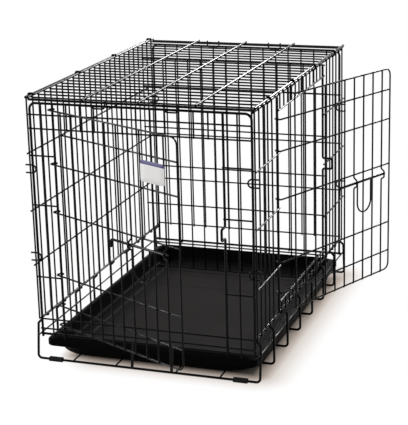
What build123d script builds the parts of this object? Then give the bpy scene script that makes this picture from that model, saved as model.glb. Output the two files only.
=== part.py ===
"""Folding wire dog crate with two doors, a slide-out pan and a divider.

The frame has X across the crate, Y along it and Z up. The front end is at
low Y and the doored side at high X. Everything is laid out about the middle
of the floor and moved at the end, so that the origin lies under the middle
of the whole object as it stands, with both doors ajar.
"""
from build123d import *
from math import atan2, cos, degrees, hypot, radians, tan
import os

# Overall size of the crate without its doors and the toes of its tray (mm)
CRATE_W = 533.0
CRATE_L = 762.0
CRATE_H = 620.0

# Wire
RAIL_D = 5.0
WIRE_D = 3.2
BOLT_D = 5.0
WIRE_SIDES = 8
RAIL_SIDES = 12
WIRE_PITCH = 31.75
FRAME_BEND = 14.0
KEEPER_BEND = 3.0

# Clearances
PIVOT_GAP = 0.1
PANEL_GAP = 2.0
LID_GAP = 0.4
DOOR_GAP = 3.7
SEAT_GAP = 0.3

# Floor tray
FOOT_T = 2.0
FOOT_L = 33.0
FOOT_W = 12.0
FOOT_H = 9.0
FOOT_FROM_CORNER = 35.0
SIDE_RAIL_Z = 101.0
END_RAIL_Z = 61.0
CROSS_BAYS = 7
FLOOR_WIRE_SHARE = (-0.66, -0.27, 0.27, 0.66)
TRAY_BEND = 9.0
TRAY_TOE = 12.0
RISER_OUT = 10.0
RISER_JOG = 10.0

# Side panels: bars as shares of the crate's height
LEFT_BAR_SHARE = (0.369, 0.575, 0.790)
RIGHT_BAR_SHARE = (0.351, 0.570, 0.774)
CURL_EVERY = 3
LID_CURL_EVERY = 6
SIDE_HEADER_DROP = 44.0
SIDE_SILL_RISE = 32.0
JAMB_ROOM = 20.0

# End panels: bars and hooks as shares of the crate's height
END_TOP_DROP = 16.0
FRONT_HEADER_DROP = (72.5, 41.0)
FRONT_SILL_RISE = (16.5, 40.0)
FRONT_BAY_SHARE = (0.326, 0.600, 0.784)
BACK_BAR_SHARE = (0.170, 0.377, 0.580, 0.787)
END_PITCH = 33.0
HOOK_SHARE = (0.403, 0.734)
HOOK_H = 18.0
HOOK_REACH = 9.0
HOOK_OUT = 5.0

# Doors: both have one pattern, with bars as shares of the door's height
DOOR_SIDE_ROOM = 129.0
DOOR_TOP_ROOM = 120.0
DOOR_BAR_SHARE = (0.0, 0.0946, 0.2395, 0.5348, 0.7564, 0.8996, 1.0)
DOOR_PITCH = 36.0
DOOR_WIRES = 10
DOOR_BEND = 16.0
KEEPER_INSET = 11.5
FRONT_HINGE_INSET = 66.0
FRONT_DOOR_RISE = 31.0
FRONT_DOOR_ANGLE = 26.0
SIDE_HINGE_INSET = 174.0
SIDE_DOOR_RISE = 6.0
SIDE_DOOR_ANGLE = 23.7
FRONT_EYES = (0, 1, 2, 3, 4, 6)
SIDE_EYES = (0, 1, 2, 3, 4, 5)

# Slide bolts, placed from the door's free edge
BOLT_SHARE = 0.498
BOLT_INSET = 28.0
BOLT_L = 177.0
BOLT_TAIL = 18.0
HANDLE_INSET = 84.0
HANDLE_W = 52.0
HANDLE_DROP = 74.0
HANDLE_BEND = 25.5
KEEPER_H = 26.0
GUIDE_H = 26.0
GUIDE_RUN = 6.0

# Hang tag
TAG_W = 76.0
TAG_H = 58.0
TAG_T = 0.8
TAG_INSET = 80.0
TAG_DROP = 2.5

# Lid: clips as shares of the crate's half length
LID_RAILS = 3
LID_CLIP_SHARE = (-0.937, -0.270, 0.312, 0.937)
LID_LOOPS_X = (-88.0, 80.0)
LID_LOOP_W = 32.0
LID_LOOP_DROP = 4.0

# Pan
PAN_H = 38.0
PAN_T = 3.0
PAN_DRAFT = 8.0
PAN_CORNER = 40.0
PAN_SIDE_GAP = 9.0
PAN_END_GAP = 3.0
PAN_LEDGE_W = 26.0
PAN_LEDGE_H = 4.0

# Pan stops
STOP_X = (-33.5, 61.5)
STOP_W = 7.0
STOP_T = 2.0
STOP_WALL = 2.2

# Divider: bars as shares of the crate's height
DIVIDER_SHARE = 0.709
DIVIDER_PITCH = 33.0
DIVIDER_BAR_SHARE = (0.141, 0.315, 0.485, 0.652, 0.828, 0.946)
DIVIDER_SIDE_GAP = 10.0
DIVIDER_PAN_GAP = 22.0
DIVIDER_LIFT = 0.8

# Planes worked out from the sizes above
HALF_W = CRATE_W / 2
HALF_L = CRATE_L / 2
BAR_OFF = WIRE_D / 2
WIRE_OFF = WIRE_D + WIRE_D / 2
RAIL_OFF = WIRE_D + RAIL_D / 2
FOLD_R = (RAIL_D + WIRE_D) / 2
EYE_R = RAIL_D / 2 + PIVOT_GAP + WIRE_D / 2
SIDE_BAR_X = HALF_W - BAR_OFF
SIDE_WIRE_X = HALF_W - WIRE_OFF
SIDE_RAIL_X = HALF_W - RAIL_OFF
TRAY_X = SIDE_WIRE_X - WIRE_D / 2 - RAIL_D / 2
RISER_X = TRAY_X + RISER_OUT
LOWER_RAIL_X = RISER_X - FOLD_R
STILE_X = SIDE_WIRE_X - WIRE_D / 2 - PANEL_GAP - RAIL_D / 2
END_BAR_Y = HALF_L - BAR_OFF
END_WIRE_Y = HALF_L - WIRE_OFF
END_FRAME_Y = HALF_L - RAIL_OFF
TRAY_Y = END_FRAME_Y - RAIL_D
TOE_Y = TRAY_Y + TRAY_TOE
FLOOR_Z = FOOT_T + RAIL_D / 2
FLOOR_WIRE_Z = FLOOR_Z + (RAIL_D + WIRE_D) / 2
LID_RAIL_X = HALF_W - RAIL_D / 2
LID_RAIL_Z = CRATE_H - RAIL_D / 2
LID_WIRE_Z = CRATE_H - RAIL_D - WIRE_D / 2
LID_END_Z = CRATE_H - RAIL_D - RAIL_D / 2
SIDE_TOP_Z = LID_END_Z - RAIL_D - LID_GAP
LEFT_TOP_Z = LID_RAIL_Z - SEAT_GAP
LID_LEFT_X = RAIL_D + LID_GAP - SIDE_WIRE_X
SIDE_HEADER_Z = CRATE_H - SIDE_HEADER_DROP
SIDE_SILL_Z = SIDE_RAIL_Z + SIDE_SILL_RISE
END_TOP_Z = CRATE_H - END_TOP_DROP
FRONT_SILL_Z = [END_RAIL_Z + rise for rise in FRONT_SILL_RISE]
FRONT_HEADER_Z = [CRATE_H - drop for drop in FRONT_HEADER_DROP]
DOOR_W = CRATE_W - DOOR_SIDE_ROOM
DOOR_H = CRATE_H - DOOR_TOP_ROOM
KEEPER_U = DOOR_W - KEEPER_INSET
FRONT_HINGE_X = FRONT_HINGE_INSET - HALF_W
FRONT_DOOR_Z = END_RAIL_Z + FRONT_DOOR_RISE
SIDE_HINGE_Y = SIDE_HINGE_INSET - HALF_L
SIDE_DOOR_Z = SIDE_RAIL_Z + SIDE_DOOR_RISE
BOLT_RISE = DOOR_H * BOLT_SHARE
DOOR_BAR_OUT = RAIL_OFF + DOOR_GAP + WIRE_D / 2
DOOR_WIRE_OUT = DOOR_BAR_OUT + WIRE_D
DOOR_BOLT_OUT = DOOR_WIRE_OUT + WIRE_D / 2 + PIVOT_GAP + BOLT_D / 2
PAN_Z = FLOOR_WIRE_Z + WIRE_D / 2 + SEAT_GAP
PAN_RIM_X = LOWER_RAIL_X - WIRE_D / 2 - PAN_SIDE_GAP
PAN_RIM_Y = TRAY_Y - RAIL_D / 2 - PAN_END_GAP
PAN_LEAN = PAN_H * tan(radians(PAN_DRAFT))
PAN_INNER_X = PAN_RIM_X - PAN_LEAN - PAN_T
PAN_INNER_Y = PAN_RIM_Y - PAN_LEAN - PAN_T
DIVIDER_Y = HALF_L * DIVIDER_SHARE

X, Y, Z = Vector(1, 0, 0), Vector(0, 1, 0), Vector(0, 0, 1)


def section(dia, sides=WIRE_SIDES):
    """The many-sided section of a wire, with flats facing its neighbours."""
    return RegularPolygon(dia / 2, sides, major_radius=False, rotation=180 / sides)


def rod(start, end, dia=RAIL_D):
    """A straight bar that something turns on, truly round."""
    run = Vector(end) - Vector(start)
    return Solid.make_cylinder(dia / 2, run.length, Plane(start, z_dir=run))


def wire(start, end, dia=WIRE_D, sides=WIRE_SIDES):
    """A straight fill wire from start to end, along one axis of the crate."""
    run = Vector(end) - Vector(start)
    flat = Z if abs(run.Z) < 1e-6 else X
    return extrude(Plane(start, x_dir=flat, z_dir=run) * section(dia, sides), run.length).solid()


def rail(start, end):
    """A straight frame bar, thicker than a fill wire."""
    return wire(start, end, RAIL_D, RAIL_SIDES)


def eased(points, bend):
    """A path whose corners are each replaced by two chords of a bend."""
    path = [Vector(p) for p in points]
    round_path = [path[0]]
    for before, corner, after in zip(path, path[1:], path[2:]):
        start = corner + (before - corner).normalized() * bend
        end = corner + (after - corner).normalized() * bend
        round_path += [start, start * 0.25 + corner * 0.5 + end * 0.25, end]
    return round_path + [path[-1]]


def bent(points, normal, bend=0.0, dia=WIRE_D):
    """A wire bent in one plane, mitred at its corners, which are eased where a bend is given."""
    path = Polyline(*(eased(points, bend) if bend else points))
    start = Plane(path @ 0, x_dir=normal, z_dir=path % 0)
    return sweep(start * section(dia), path, transition=Transition.RIGHT).solid()


def spread(low, high, pitch):
    """Evenly spaced places between two ends, close to a pitch apart, without the ends."""
    count = max(round((high - low) / pitch), 2)
    return [low + (high - low) * i / count for i in range(1, count)]


def heights(shares):
    """Shares of the crate's height as heights above the floor."""
    return [CRATE_H * share for share in shares]


def cross_rows():
    """Places of the tray's cross wires along the crate, its two end frames included."""
    inner = [-TOE_Y + 2 * TOE_Y * i / CROSS_BAYS for i in range(1, CROSS_BAYS)]
    return [-TRAY_Y] + inner + [TRAY_Y]


def cross_wire(y, toe):
    """One U of the tray, whose ends jog in under the side rails. A toe leans its foot outward."""
    slope = RISER_OUT / hypot(RISER_OUT, RISER_JOG)
    top = SIDE_RAIL_Z - RAIL_D / 2 - slope * RAIL_D / 2
    jog = top - RISER_JOG
    half = [(TRAY_X, top), (RISER_X, jog), (RISER_X, FLOOR_Z)]
    outline = [(-x, z) for x, z in half] + half[::-1]
    path = [(x, y + toe * (top - z) / (top - FLOOR_Z), z) for x, z in outline]
    return bent(path, Vector(0, top - FLOOR_Z, toe), TRAY_BEND, RAIL_D)


def tray():
    """Floor of U-bent cross wires with its hinge rails, on rubber feet."""
    rows = cross_rows()
    ends = [cross_wire(rows[0], -TRAY_TOE), cross_wire(rows[-1], TRAY_TOE)]
    crosses = [cross_wire(y, 0) for y in rows[1:-1]]
    reach = TOE_Y + RAIL_D / 2
    floor = []
    for x in [RISER_X * share for share in FLOOR_WIRE_SHARE]:
        floor.append(wire((x, -reach, FLOOR_WIRE_Z), (x, reach, FLOOR_WIRE_Z)))
    inner = LOWER_RAIL_X - WIRE_D / 2
    sides = []
    end_rails = []
    feet = []
    for s in (-1, 1):
        edge = TRAY_Y + RAIL_D / 2
        sides.append(rail((s * TRAY_X, -edge, SIDE_RAIL_Z), (s * TRAY_X, edge, SIDE_RAIL_Z)))
        edge = HALF_L
        sides.append(wire((s * LOWER_RAIL_X, -edge, END_RAIL_Z), (s * LOWER_RAIL_X, edge, END_RAIL_Z)))
        bar = rod if s < 0 else rail
        end_rails.append(bar((-inner, s * TRAY_Y, END_RAIL_Z), (inner, s * TRAY_Y, END_RAIL_Z)))
        for t in (-1, 1):
            x = t * (TRAY_X - FOOT_FROM_CORNER)
            feet.append(foot().moved(Location((x, s * TOE_Y, 0))))
    return {
        "tray_end_frames": ends,
        "tray_cross_wires": crosses,
        "tray_floor_wires": floor,
        "tray_side_rails": sides,
        "tray_end_rails": end_rails,
        "rubber_feet": feet,
    }


def foot():
    """A rubber sleeve on the end floor wire, flat below and bevelled above."""
    half, bevel = FOOT_W / 2, FOOT_H / 3
    corners = [(-half, 0), (half, 0), (half, FOOT_H - bevel), (half - bevel, FOOT_H)]
    profile = Polygon(*corners, (bevel - half, FOOT_H), (-half, FOOT_H - bevel), align=None)
    bore = Pos(0, FLOOR_Z) * section(RAIL_D / cos(radians(180 / WIRE_SIDES)), RAIL_SIDES)
    return extrude(Plane.YZ * (profile - bore), FOOT_L / 2, both=True).solid()


def side_wire(s, y, low, high, foot_curl=False, head_curl=False):
    """One upright of a side panel. Its foot may fold round the tray's rail, its head round the lid's."""
    x = s * SIDE_WIRE_X
    path = [(x, y, low)]
    if foot_curl:
        below = SIDE_RAIL_Z - FOLD_R
        inside = s * (TRAY_X - FOLD_R)
        path = [(inside, y, SIDE_RAIL_Z), (inside, y, below), (x, y, below)]
    if not head_curl:
        path.append((x, y, high))
        return bent(path, Y) if foot_curl else wire(*path)
    out = s * (LID_RAIL_X + EYE_R)
    over = LID_RAIL_Z + EYE_R
    inside = s * (LID_RAIL_X - EYE_R)
    path += [(x, y, SIDE_TOP_Z), (out, y, SIDE_TOP_Z + RAIL_D), (out, y, over)]
    path += [(inside, y, over), (inside, y, LID_RAIL_Z - WIRE_D / 2)]
    return bent(path, Y)


def curled(i, y):
    """Every third upright is curled, where the tray's own risers leave room for it."""
    room = min(abs(y - row) for row in cross_rows())
    return i % CURL_EVERY == 1 and room > RAIL_D


def side_rows():
    """Places of the side uprights along the crate, from the front edge to the back."""
    edge = HALF_L - WIRE_OFF
    return [-edge] + spread(-edge, edge, WIRE_PITCH) + [edge]


def side_bar(s, low, high, z):
    """A lengthwise bar on the outside of a side panel."""
    return wire((s * SIDE_BAR_X, low, z), (s * SIDE_BAR_X, high, z))


def corner_hooks(s):
    """U hooks of a side panel, laid across the end panels' stiles on the outside."""
    hooks = []
    for t in (-1, 1):
        y = t * END_BAR_Y
        near = s * (STILE_X - HOOK_REACH)
        far = s * (HALF_W + HOOK_OUT)
        for z in heights(HOOK_SHARE):
            low, high = z - HOOK_H / 2, z + HOOK_H / 2
            hooks.append(bent([(far, y, high), (near, y, high), (near, y, low), (far, y, low)], Y))
    return hooks


def left_side():
    """The plain long side, its top rail welded on the heads of its uprights."""
    base = SIDE_RAIL_Z - RAIL_D / 2
    top = LEFT_TOP_Z - RAIL_D / 2
    wires = [side_wire(-1, y, base, top, curled(i, y)) for i, y in enumerate(side_rows())]
    bars = [side_bar(-1, -HALF_L, HALF_L, z) for z in heights(LEFT_BAR_SHARE)]
    top_rail = rail((-SIDE_WIRE_X, -HALF_L, LEFT_TOP_Z), (-SIDE_WIRE_X, HALF_L, LEFT_TOP_Z))
    return {
        "left_side_uprights": wires,
        "left_side_bars": bars,
        "left_side_top_rail": [top_rail],
        "left_side_hooks": corner_hooks(-1),
    }


def keeper(z):
    """Path of a jamb whose bulge takes the bolt: distance outward and height."""
    out = DOOR_BOLT_OUT + BOLT_D / 2 + SEAT_GAP + RAIL_D / 2
    half = KEEPER_H / 2
    return [(0, z - half), (out, z - half), (out, z + half), (0, z + half)]


def right_side():
    """The long side with the doorway: jambs, header, sill and short uprights."""
    base = SIDE_RAIL_Z - RAIL_D / 2
    top = SIDE_TOP_Z + RAIL_D / 2
    rear = SIDE_HINGE_Y + KEEPER_U
    uprights = []
    shorts = []
    for i, y in enumerate(side_rows()):
        curl = curled(i, y)
        head = i % LID_CURL_EVERY == LID_CURL_EVERY // 2
        if SIDE_HINGE_Y - JAMB_ROOM < y < rear + JAMB_ROOM:
            if min(y - SIDE_HINGE_Y, rear - y) > 4 * WIRE_D:
                shorts.append(side_wire(1, y, SIDE_HEADER_Z - WIRE_D, top, False, head))
                shorts.append(side_wire(1, y, base, SIDE_SILL_Z + WIRE_D, curl))
        else:
            uprights.append(side_wire(1, y, base, top, curl, head))
    clear = RAIL_D / 2
    bars = [side_bar(1, SIDE_HINGE_Y - clear, rear + clear, z) for z in (SIDE_HEADER_Z, SIDE_SILL_Z)]
    for z in heights(RIGHT_BAR_SHARE):
        bars.append(side_bar(1, -HALF_L, SIDE_HINGE_Y + clear, z))
        bars.append(side_bar(1, rear - clear, HALF_L, z))
    foot_z = SIDE_RAIL_Z + RAIL_D / 2
    head_z = SIDE_TOP_Z - RAIL_D / 2
    hinge = rod((SIDE_RAIL_X, SIDE_HINGE_Y, foot_z), (SIDE_RAIL_X, SIDE_HINGE_Y, head_z))
    bulge = [(SIDE_RAIL_X + out, rear, z) for out, z in keeper(SIDE_DOOR_Z + BOLT_RISE)]
    jamb = bent([(SIDE_RAIL_X, rear, foot_z)] + bulge + [(SIDE_RAIL_X, rear, head_z)], Y, KEEPER_BEND, RAIL_D)
    top_rail = rail((TRAY_X, -HALF_L, SIDE_TOP_Z), (TRAY_X, HALF_L, SIDE_TOP_Z))
    return {
        "right_side_uprights": uprights,
        "right_side_short_uprights": shorts,
        "right_side_bars": bars,
        "right_side_hinge_jamb": [hinge],
        "right_side_keeper_jamb": [jamb],
        "right_side_top_rail": [top_rail],
        "right_side_hooks": corner_hooks(1),
    }


def end_frame(y):
    """Stiles and rounded top of an end panel, standing outside the tray's end rail."""
    foot_z = END_RAIL_Z - RAIL_D
    path = [(-STILE_X, y, foot_z), (-STILE_X, y, END_TOP_Z), (STILE_X, y, END_TOP_Z), (STILE_X, y, foot_z)]
    return bent(path, Y, FRAME_BEND, RAIL_D)


def end_bar(t, low, high, z):
    """A crosswise bar on the outside of an end panel."""
    return wire((low, t * END_BAR_Y, z), (high, t * END_BAR_Y, z))


def front_panel():
    """The end with the front doorway."""
    edge = STILE_X + RAIL_D / 2
    left = FRONT_HINGE_X
    right = FRONT_HINGE_X + KEEPER_U
    low_z = END_RAIL_Z - RAIL_D
    head_z = END_TOP_Z - RAIL_D / 2
    bars = [end_bar(-1, -edge, edge, z) for z in FRONT_SILL_Z + FRONT_HEADER_Z]
    bays = []
    for z in heights(FRONT_BAY_SHARE):
        bays.append(end_bar(-1, -edge, left + RAIL_D / 2, z))
        bays.append(end_bar(-1, right - RAIL_D / 2, edge, z))
    uprights = []
    for x in ((left - STILE_X) / 2, (right + STILE_X) / 2):
        uprights.append(wire((x, -END_WIRE_Y, low_z), (x, -END_WIRE_Y, head_z)))
    for x in spread(left, right, END_PITCH):
        uprights.append(wire((x, -END_WIRE_Y, FRONT_HEADER_Z[0] - WIRE_D), (x, -END_WIRE_Y, head_z)))
    hinge = rod((left, -END_FRAME_Y, low_z), (left, -END_FRAME_Y, head_z))
    bulge = [(right, -END_FRAME_Y - out, z) for out, z in keeper(FRONT_DOOR_Z + BOLT_RISE)]
    path = [(right, -END_FRAME_Y, low_z)] + bulge + [(right, -END_FRAME_Y, head_z)]
    return {
        "front_panel_frame": [end_frame(-END_FRAME_Y)],
        "front_panel_bars": bars,
        "front_panel_bay_bars": bays,
        "front_panel_uprights": uprights,
        "front_panel_hinge_jamb": [hinge],
        "front_panel_keeper_jamb": [bent(path, X, KEEPER_BEND, RAIL_D)],
    }


def back_panel():
    """The plain end."""
    edge = STILE_X + RAIL_D / 2
    head_z = END_TOP_Z - RAIL_D / 2
    bar_z = heights(BACK_BAR_SHARE)
    low_z = bar_z[0] - WIRE_D
    below = END_RAIL_Z - FOLD_R
    inside = TRAY_Y - FOLD_R
    uprights = []
    for i, x in enumerate(spread(-STILE_X, STILE_X, END_PITCH)):
        if i % CURL_EVERY == 1:
            start = TRAY_Y + FOLD_R
            path = [(x, start, head_z), (x, start, below), (x, inside, below), (x, inside, END_RAIL_Z)]
            uprights.append(bent(path, X))
        else:
            uprights.append(wire((x, END_WIRE_Y, low_z), (x, END_WIRE_Y, head_z)))
    return {
        "back_panel_frame": [end_frame(END_FRAME_Y)],
        "back_panel_bars": [end_bar(1, -edge, edge, z) for z in bar_z],
        "back_panel_uprights": uprights,
    }


def lid():
    """The top panel, hung in the right side's curled uprights and clipped to the left side."""
    edge = HALF_L - RAIL_D / 2
    rails = []
    for i in range(LID_RAILS + 2):
        x = LID_LEFT_X + (LID_RAIL_X - LID_LEFT_X) * i / (LID_RAILS + 1)
        bar = rod if i > LID_RAILS else rail
        rails.append(bar((x, -HALF_L, LID_RAIL_Z), (x, HALF_L, LID_RAIL_Z)))
    rows = side_rows()
    rows = [(y + after) / 2 for y, after in zip(rows, rows[1:])]
    crosses = [wire((LID_LEFT_X, y, LID_WIRE_Z), (LID_RAIL_X, y, LID_WIRE_Z)) for y in rows]
    ends = [rail((LID_LEFT_X, y, LID_END_Z), (LID_RAIL_X, y, LID_END_Z)) for y in (-edge, edge)]
    out = -SIDE_WIRE_X - RAIL_D / 2 - SEAT_GAP - WIRE_D / 2
    over = LID_RAIL_Z + FOLD_R
    low = LEFT_TOP_Z - RAIL_D / 2 - RAIL_D
    inside = LID_LEFT_X + FOLD_R
    clips = []
    for y in [HALF_L * share for share in LID_CLIP_SHARE]:
        path = [(inside, y, LID_RAIL_Z), (inside, y, over), (out, y, over), (out, y, low)]
        clips.append(bent(path, Y))
    loops = []
    for y in (-HALF_L - WIRE_D / 2, HALF_L + WIRE_D / 2):
        for x in LID_LOOPS_X:
            left, right = x - LID_LOOP_W / 2, x + LID_LOOP_W / 2
            low = END_TOP_Z - LID_LOOP_DROP
            path = [(left, y, LID_RAIL_Z), (left, y, low), (right, y, low), (right, y, LID_RAIL_Z)]
            loops.append(bent(path, Y))
    return {
        "lid_rails": rails,
        "lid_cross_wires": crosses,
        "lid_end_rails": ends,
        "lid_clips": clips,
        "lid_end_loops": loops,
    }


def door(name, place, base_z, eyes):
    """A door in its own frame: X from the hinge to the free edge, outward at low Y."""
    rises = [base_z + DOOR_H * share for share in DOOR_BAR_SHARE]
    low, high = rises[0], rises[-1]
    y_bar, y_wire = -DOOR_BAR_OUT, -DOOR_WIRE_OUT
    stile = DOOR_W
    first = stile - DOOR_PITCH * DOOR_WIRES
    bolt_z = base_z + BOLT_RISE
    frame_path = [(first, y_bar, low), (stile, y_bar, low), (stile, y_bar, high), (first, y_bar, high)]
    frame = [bent(frame_path, Y, DOOR_BEND)]
    bars = []
    for i, z in enumerate(rises):
        end = first if z in (low, high) else stile - WIRE_D / 2
        if i in eyes:
            eye = [(end, y_bar, z), (-EYE_R, y_bar, z), (-EYE_R, EYE_R, z), (EYE_R, EYE_R, z), (EYE_R, 0, z)]
            bars.append(bent(eye, Z))
        elif end > first:
            bars.append(wire((first, y_bar, z), (end, y_bar, z)))
    guides = (stile - DOOR_PITCH, stile - DOOR_PITCH * 4)
    y_out = -(DOOR_BOLT_OUT + BOLT_D / 2 + PIVOT_GAP + WIRE_D / 2)
    wires = []
    for i in range(1, DOOR_WIRES + 1):
        u = stile - DOOR_PITCH * i
        if u in guides:
            half = GUIDE_H / 2
            jog = [
                (u, y_wire, bolt_z - half),
                (u, y_out, bolt_z - half + GUIDE_RUN),
                (u, y_out, bolt_z + half - GUIDE_RUN),
                (u, y_wire, bolt_z + half),
            ]
            wires.append(bent([(u, y_wire, low)] + jog + [(u, y_wire, high)], X))
        else:
            wires.append(wire((u, y_wire, low), (u, y_wire, high)))
    y_bolt = -DOOR_BOLT_OUT
    bolt_end = stile - BOLT_INSET
    bolt_start = bolt_end - BOLT_L
    tail = [(bolt_start, y_bolt, bolt_z - BOLT_TAIL), (bolt_start, y_bolt, bolt_z), (bolt_end, y_bolt, bolt_z)]
    bolt = [bent(tail, Y, BOLT_D, BOLT_D)]
    grip_z = bolt_z - BOLT_D / 2
    grip_end = stile - HANDLE_INSET
    grip_start = grip_end - HANDLE_W
    grip_low = grip_z - HANDLE_DROP
    grip_path = [(grip_start, y_bolt, grip_z), (grip_start, y_bolt, grip_low)]
    grip_path += [(grip_end, y_bolt, grip_low), (grip_end, y_bolt, grip_z)]
    grip = [bent(grip_path, Y, HANDLE_BEND)]
    nodes = {
        name + "_frame": frame,
        name + "_bars": bars,
        name + "_wires": wires,
        name + "_bolt": bolt,
        name + "_bolt_grip": grip,
    }
    if name == "front_door":
        tag_top = rises[-2] - TAG_DROP
        card = Box(TAG_W, TAG_T, TAG_H, align=(Align.CENTER, Align.MAX, Align.MAX))
        seat = y_wire - WIRE_D / 2
        nodes["hang_tag"] = [card.moved(Location((stile - TAG_INSET, seat, tag_top))).solid()]
    return {node: [solid.moved(place) for solid in solids] for node, solids in nodes.items()}


def pan():
    """The moulded pan: drafted walls with rounded corners and a raised ledge round its floor."""
    def tub(inset, low, height):
        half_x = PAN_INNER_X + PAN_T - inset
        half_y = PAN_INNER_Y + PAN_T - inset
        outline = RectangleRounded(2 * half_x, 2 * half_y, PAN_CORNER - min(inset, PAN_T))
        return extrude(Plane.XY.offset(low) * outline, height, taper=-PAN_DRAFT)

    walls = tub(0, 0, PAN_H) - tub(PAN_T, PAN_T + PAN_LEDGE_H, PAN_H)
    sunk = tub(PAN_T + PAN_LEDGE_W, PAN_T, PAN_LEDGE_H)
    return {"pan": [(walls - sunk).moved(Location((0, 0, PAN_Z))).solid()]}


def pan_stop():
    """A strap that hangs on the front end rail and closes the way of the pan."""
    outer = RAIL_D / 2 + PIVOT_GAP + STOP_WALL
    drop = hypot(TRAY_TOE, END_RAIL_Z - FLOOR_Z)
    lean = degrees(atan2(TRAY_TOE, END_RAIL_Z - FLOOR_Z))
    leg_y = -(RAIL_D / 2 + SEAT_GAP + STOP_T / 2)
    knuckle = section(2 * outer)
    leg = Pos(leg_y, -drop / 2) * Rectangle(STOP_T, drop)
    profile = Rot(0, 0, -lean) * (knuckle + leg) - Circle(RAIL_D / 2 + PIVOT_GAP)
    return extrude(Plane.YZ * profile, STOP_W / 2, both=True).solid()


def divider():
    """A loose panel that stands in the pan between the two sides."""
    reach = STILE_X - DIVIDER_SIDE_GAP
    low_reach = PAN_INNER_X - DIVIDER_PAN_GAP
    floor_z = PAN_Z + PAN_T + PAN_LEDGE_H + DIVIDER_LIFT + WIRE_D / 2
    bar_z = heights(DIVIDER_BAR_SHARE)
    top = bar_z[-1] + WIRE_D / 2
    front = DIVIDER_Y - WIRE_D
    bars = [wire((-reach, front, z), (reach, front, z)) for z in bar_z]
    foot_bar = wire((-low_reach, front, floor_z), (low_reach, front, floor_z))
    base = floor_z - WIRE_D / 2
    rows = spread(-low_reach, low_reach, DIVIDER_PITCH)
    wires = [wire((x, DIVIDER_Y, base), (x, DIVIDER_Y, top)) for x in rows]
    return {"divider_bars": bars + [foot_bar], "divider_wires": wires}


FRONT_PIVOT = Location((FRONT_HINGE_X, -END_FRAME_Y, 0))
SIDE_PIVOT = Location((SIDE_RAIL_X, SIDE_HINGE_Y, 0))


def nodes():
    """Every node of the crate, laid out about the middle of its floor."""
    front_place = FRONT_PIVOT * Location((0, 0, 0), (0, 0, -FRONT_DOOR_ANGLE))
    side_place = SIDE_PIVOT * Location((0, 0, 0), (0, 0, 90 - SIDE_DOOR_ANGLE))
    made = {}
    made.update(tray())
    made.update(left_side())
    made.update(right_side())
    made.update(front_panel())
    made.update(back_panel())
    made.update(lid())
    made.update(door("front_door", front_place, FRONT_DOOR_Z, FRONT_EYES))
    made.update(door("side_door", side_place, SIDE_DOOR_Z, SIDE_EYES))
    made.update(pan())
    for side, x in zip(("left", "right"), STOP_X):
        made["pan_stop_" + side] = [pan_stop().moved(Location((x, -TRAY_Y, END_RAIL_Z)))]
    made.update(divider())
    return made


def origin(made):
    """The move that puts the middle of the whole object's box over the origin."""
    boxes = [solid.bounding_box() for solids in made.values() for solid in solids]
    x = (min(b.min.X for b in boxes) + max(b.max.X for b in boxes)) / 2
    y = (min(b.min.Y for b in boxes) + max(b.max.Y for b in boxes)) / 2
    return Location((-x, -y, 0))


crate = nodes()
shift = origin(crate)
os.makedirs("parts", exist_ok=True)
for node, solids in crate.items():
    moved = [solid.moved(shift) for solid in solids]
    export_step(Compound(moved), os.path.join("parts", node + ".step"))
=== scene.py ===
from functools import partial
from math import atan2, hypot, radians

import bpy
import numpy as np
from mathutils import Matrix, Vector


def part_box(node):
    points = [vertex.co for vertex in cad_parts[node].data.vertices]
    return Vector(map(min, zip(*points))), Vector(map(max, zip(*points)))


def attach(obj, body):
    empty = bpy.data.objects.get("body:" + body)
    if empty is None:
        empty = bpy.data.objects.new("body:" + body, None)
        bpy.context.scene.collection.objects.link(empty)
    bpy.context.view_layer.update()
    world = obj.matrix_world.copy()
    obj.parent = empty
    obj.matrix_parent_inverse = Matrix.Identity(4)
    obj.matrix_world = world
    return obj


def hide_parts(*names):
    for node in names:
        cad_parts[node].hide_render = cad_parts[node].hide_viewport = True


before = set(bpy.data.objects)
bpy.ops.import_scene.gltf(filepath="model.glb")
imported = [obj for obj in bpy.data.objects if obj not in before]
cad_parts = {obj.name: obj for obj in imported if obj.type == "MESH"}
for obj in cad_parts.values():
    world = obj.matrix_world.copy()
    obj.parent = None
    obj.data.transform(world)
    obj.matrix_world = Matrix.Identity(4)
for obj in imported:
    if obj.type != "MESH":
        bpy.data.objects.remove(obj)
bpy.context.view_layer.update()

# Floor tray, cross wires. Five-millimetre steel wire, each length bent up at both ends into a shallow U
# whose tips jog in under the side rails. The two end frames lean outward so that the feet stand wide.
# All steel of the crate is resistance welded first and then dipped in one coat of black paint.
MM = 0.001
low_corner, high_corner = (np.array(corner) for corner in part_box("tray_cross_wires"))
crate_middle = (low_corner + high_corner) / 2 * [1, 1, 0]
crate_w, crate_l = 533.0, 762.0
half_w, half_l = crate_w / 2, crate_l / 2
rail_d, wire_d, coat_t = 5.0, 3.2, 0.34
rail_sides, wire_sides = 16, 12
cut_share, cut_length = 0.72, 0.32
fold_r = (rail_d + wire_d) / 2
side_wire_x = half_w - 1.5 * wire_d
tray_x = side_wire_x - fold_r
riser_out, riser_jog = 10.0, 10.0
riser_x = tray_x + riser_out
end_frame_y = half_l - wire_d - rail_d / 2
tray_y = end_frame_y - rail_d
tray_toe = 12.0
toe_y = tray_y + tray_toe
tip_bend, tray_bend = 6.0, 9.0
ground_gap = 2.0
floor_z = ground_gap + rail_d / 2
side_rail_z = 101.0
tip_rise = riser_out / hypot(riser_out, riser_jog) * rail_d / 2
riser_top = side_rail_z - rail_d / 2 - tip_rise
tray_count = 8
tray_rows = np.concatenate([[-tray_y], np.linspace(-toe_y, toe_y, tray_count)[1:-1], [tray_y]])


def unit(rows):
    """Each row divided by its own length."""
    return rows / np.linalg.norm(rows, axis=-1, keepdims=True)


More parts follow.
